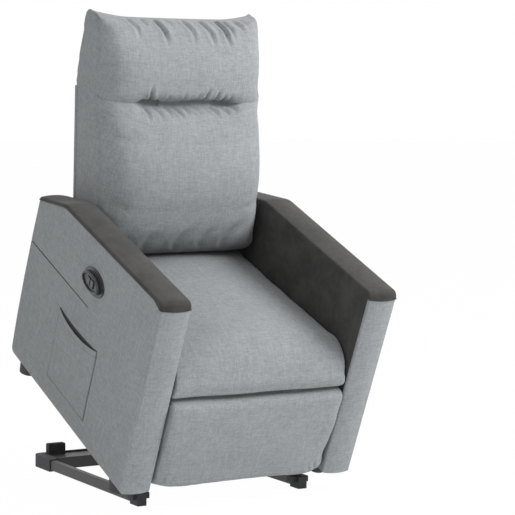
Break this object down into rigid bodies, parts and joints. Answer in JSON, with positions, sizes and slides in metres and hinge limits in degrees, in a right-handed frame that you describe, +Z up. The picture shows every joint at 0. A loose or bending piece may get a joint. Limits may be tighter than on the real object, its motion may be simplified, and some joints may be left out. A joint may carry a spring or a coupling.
{
  "type": "lift recliner chair",
  "caption": "Powered lift recliner armchair in grey fabric with dark armrest covers, standing raised on its steel base; back and footrest recline together, side control and pocket.",
  "frame": {"origin": "on the floor, under the middle of the whole raised chair", "axes": "+Z up, -Y the front of the chair, +X the sitter's left"},
  "size_m": [0.722, 0.9386, 1.3085],
  "materials": {
    "upholstery": "light grey slub weave",
    "arm_cloth": "charcoal suede-like cloth",
    "padding": "foam over a board box",
    "board": "raw plywood",
    "lining": "lining cloth",
    "webbing": "elastic webbing",
    "black_plastic": "moulded black plastic",
    "black_rubber": "black rubber",
    "gloss_control": "gloss black",
    "bright_steel": "zinc-plated steel",
    "black_steel": "black powder coat"
  },
  "bodies": {
    "chassis": {"arm_board_left": "board", "arm_board_right": "board", "arm_dust_covers": "lining", "arm_padding_left": "padding", "arm_padding_right": "padding", "arm_side_cover_left": "upholstery", "arm_side_cover_right": "upholstery", "arm_top_cover_left": "arm_cloth", "arm_top_cover_right": "arm_cloth", "chassis_cross_bar": "black_steel", "chassis_pins": "bright_steel", "chassis_plate_left": "black_steel", "chassis_plate_right": "black_steel", "control_bezel": "gloss_control", "control_housing": "black_plastic", "control_switches": "black_plastic", "control_unit": "black_plastic", "feet": "black_plastic", "power_inlet": "black_plastic", "seat_cushion": "upholstery", "seat_rail_front": "board", "seat_rail_left": "board", "seat_rail_rear": "lining", "seat_rail_right": "board", "seat_webbing": "webbing", "side_pocket": "upholstery"},
    "back": {"back_board": "board", "back_cushion": "upholstery", "back_hinge": "black_steel", "back_rear_cover": "upholstery"},
    "base": {"base_actuator_clevis": "black_steel", "base_bracket_left": "black_steel", "base_bracket_right": "black_steel", "base_corner_left": "black_plastic", "base_corner_right": "black_plastic", "base_foot_caps": "black_plastic", "base_pins": "bright_steel", "base_rail_left": "black_steel", "base_rail_right": "black_steel", "base_stop_blocks": "black_rubber", "base_tray": "black_steel"},
    "button_down": {"button_down": "gloss_control"},
    "button_up": {"button_up": "gloss_control"},
    "footrest": {"footrest_board": "board", "footrest_brackets": "black_steel", "footrest_pad": "upholstery"},
    "footrest_drive": {"footrest_drive": "black_steel"},
    "footrest_links": {"footrest_link_left": "black_steel", "footrest_link_right": "black_steel"},
    "guide_links": {"guide_link_left": "black_steel", "guide_link_right": "black_steel"},
    "lift_actuator": {"lift_actuator": "black_steel"},
    "lift_rod": {"lift_actuator_rod": "bright_steel"},
    "lift_arms": {"lift_arm_left": "black_steel", "lift_arm_right": "black_steel", "lift_torque_tube": "black_steel"},
    "recline_actuator": {"recline_actuator": "black_steel"},
    "recline_rod": {"recline_actuator_rod": "bright_steel"}
  },
  "joints": [
    {"name": "lift", "type": "hinge", "parent": "base", "child": "lift_arms", "pos_m": [0, -0.15271, 0.10379], "axis": [-1, 0, 0], "range_deg": [0, 33.2]},
    {"name": "chassis_tilt", "type": "hinge", "parent": "lift_arms", "child": "chassis", "pos_m": [0, 0.10326, 0.27873], "axis": [-1, 0, 0], "range_deg": [-10.03, 0]},
    {"name": "guide_swing", "type": "hinge", "parent": "base", "child": "guide_links", "pos_m": [0, -0.1611, 0.13444], "axis": [-1, 0, 0], "range_deg": [0, 35.33]},
    {"name": "lift_actuator_nod", "type": "hinge", "parent": "base", "child": "lift_actuator", "pos_m": [0, 0.40327, 0.078], "axis": [-1, 0, 0], "range_deg": [0, 0.71783]},
    {"name": "lift_rod_slide", "type": "slide", "parent": "lift_actuator", "child": "lift_rod", "axis": [0, -0.9828, 0.1846], "range_m": [-0.04816, 0]},
    {"name": "recline", "type": "hinge", "parent": "chassis", "child": "back", "pos_m": [0, 0.22227, 0.62335], "axis": [-1, 0, 0], "range_deg": [0, 37]},
    {"name": "recline_actuator_nod", "type": "hinge", "parent": "chassis", "child": "recline_actuator", "pos_m": [0, -0.08761, 0.3689], "axis": [1, 0, 0], "range_deg": [0, 0.086742]},
    {"name": "recline_rod_slide", "type": "slide", "parent": "recline_actuator", "child": "recline_rod", "axis": [0, 0.8838, 0.4678], "range_m": [-0.0534, 0]},
    {"name": "footrest_drive_turn", "type": "hinge", "parent": "chassis", "child": "footrest_drive", "pos_m": [0, -0.16785, 0.35306], "axis": [-1, 0, 0], "range_deg": [0, 133.53]},
    {"name": "footrest_knee", "type": "hinge", "parent": "footrest_drive", "child": "footrest_links", "pos_m": [0, -0.01937, 0.37437], "axis": [1, 0, 0], "range_deg": [0, 85.95]},
    {"name": "footrest_pivot", "type": "hinge", "parent": "footrest_links", "child": "footrest", "pos_m": [0, -0.25944, 0.2214], "axis": [-1, 0, 0], "range_deg": [0, 32.42]},
    {"name": "button_up_press", "type": "slide", "parent": "chassis", "child": "button_up", "axis": [1, 0, 0], "range_m": [0, 0.0015], "stiffness_N_per_m": 900, "springref_m": -0.0004},
    {"name": "button_down_press", "type": "slide", "parent": "chassis", "child": "button_down", "axis": [1, 0, 0], "range_m": [0, 0.0015], "stiffness_N_per_m": 900, "springref_m": -0.0004}
  ],
  "couplings": [
    {"joint": "chassis_tilt", "follows": "lift", "ratio": -0.30217},
    {"joint": "guide_swing", "follows": "lift", "ratio": 1.0642},
    {"joint": "lift_actuator_nod", "follows": "lift", "ratio": 0.021616},
    {"joint": "lift_rod_slide", "follows": "lift", "m_per_rad": -0.082931},
    {"joint": "recline_actuator_nod", "follows": "recline", "ratio": 0.002342},
    {"joint": "recline_rod_slide", "follows": "recline", "m_per_rad": -0.082543},
    {"joint": "footrest_drive_turn", "follows": "recline", "ratio": 3.6089},
    {"joint": "footrest_knee", "follows": "recline", "ratio": 2.3229},
    {"joint": "footrest_pivot", "follows": "recline", "ratio": 0.87621}
  ]
}
